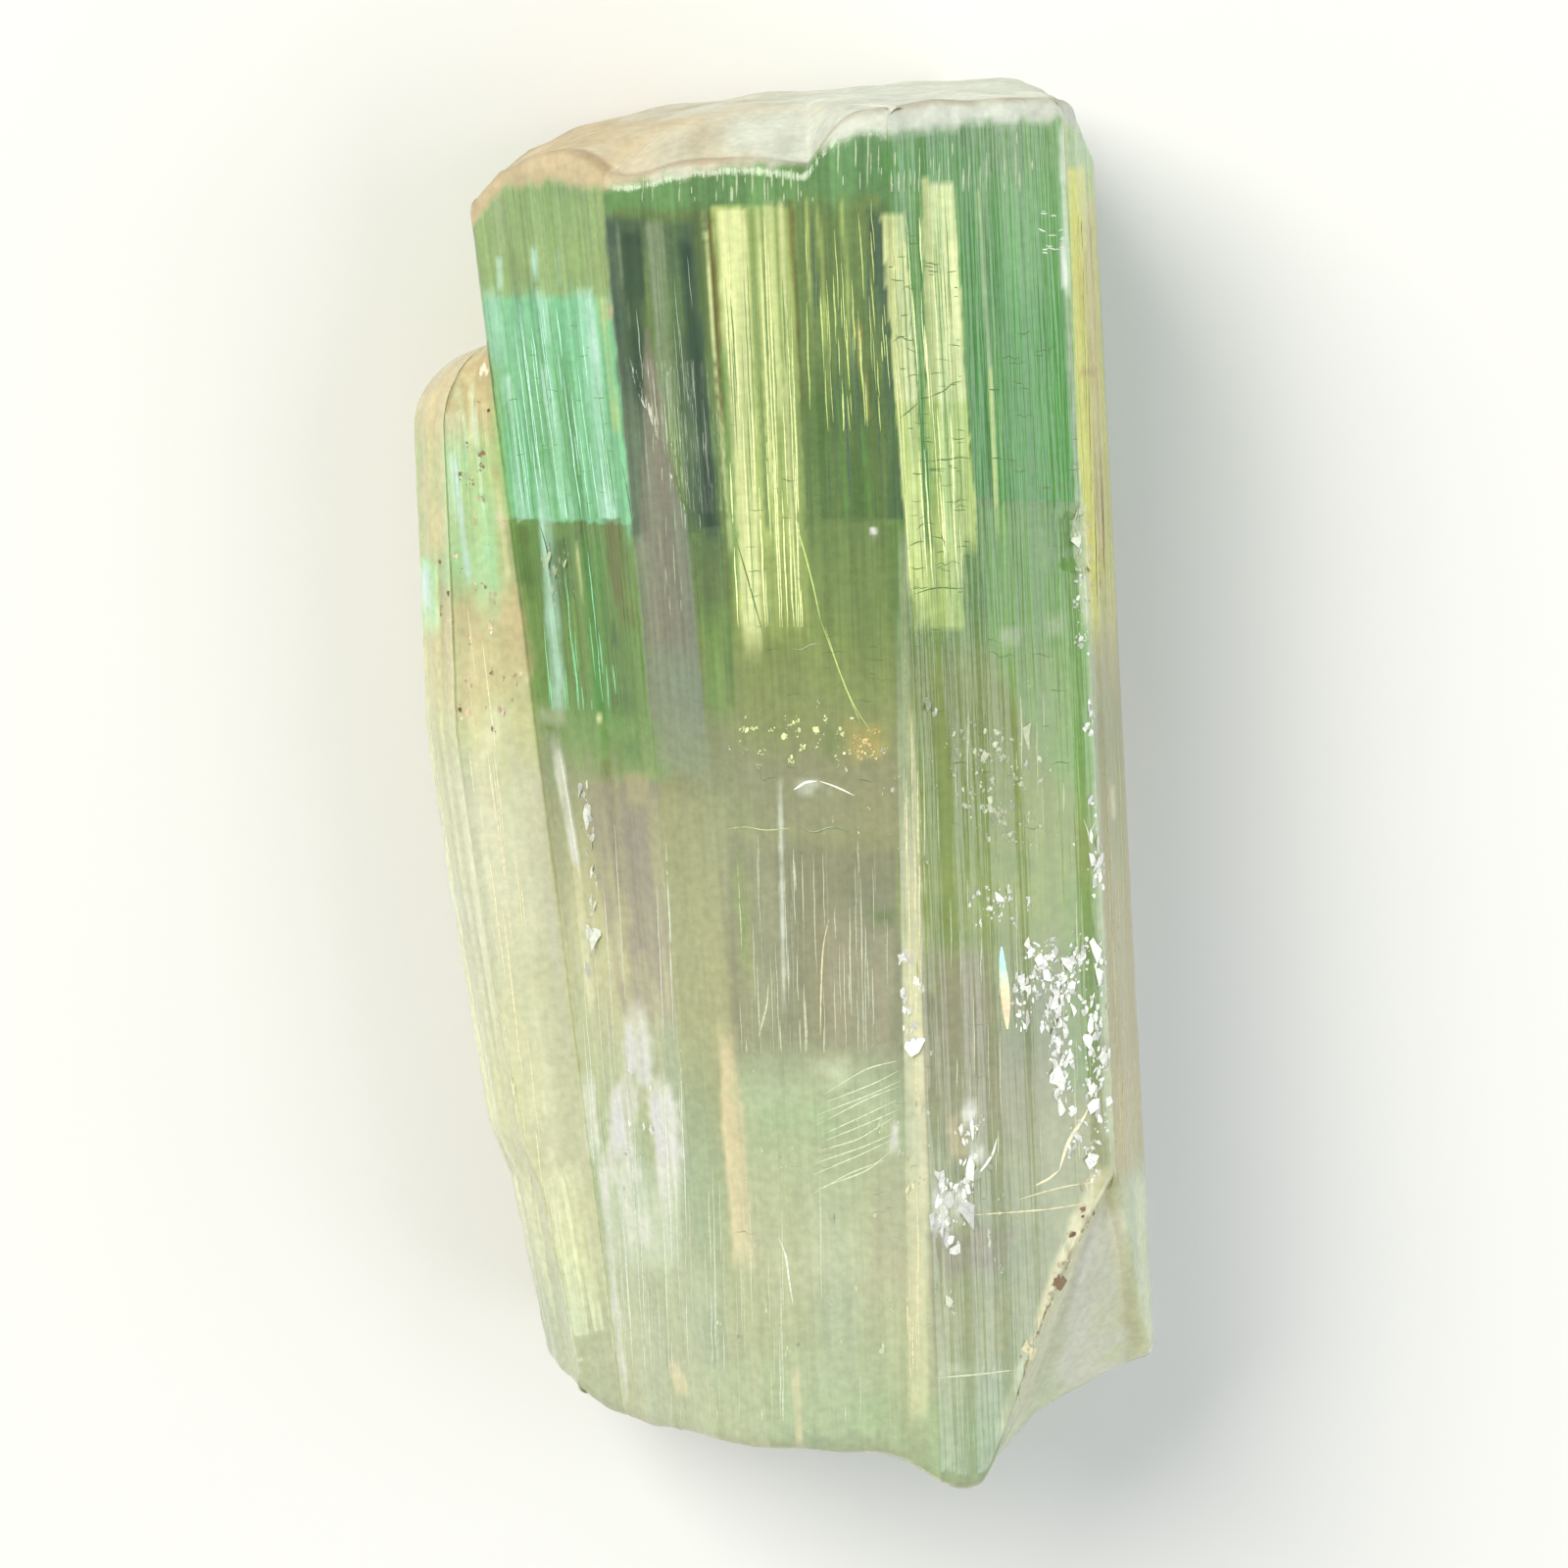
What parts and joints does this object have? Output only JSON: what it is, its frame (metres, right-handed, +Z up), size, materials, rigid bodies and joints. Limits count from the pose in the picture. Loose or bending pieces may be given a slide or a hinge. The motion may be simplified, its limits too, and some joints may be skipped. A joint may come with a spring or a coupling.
{
  "type": "tourmaline crystal",
  "caption": "Stout bi-colour tourmaline prism, sea green to pale cream, with a smaller crystal grown along its left flank.",
  "frame": {"origin": "under the middle of the crystal, on the surface that it lies on", "axes": "+Y along the crystal from its broken base to its termination, +Z up from the flat back that it rests on"},
  "size_m": [0.018, 0.034, 0.011],
  "materials": {
    "tourmaline": "clear to milky, finely striated, glassy faces with frosted ends"
  },
  "bodies": {
    "root": {"crystal": "tourmaline"}
  },
  "joints": []
}
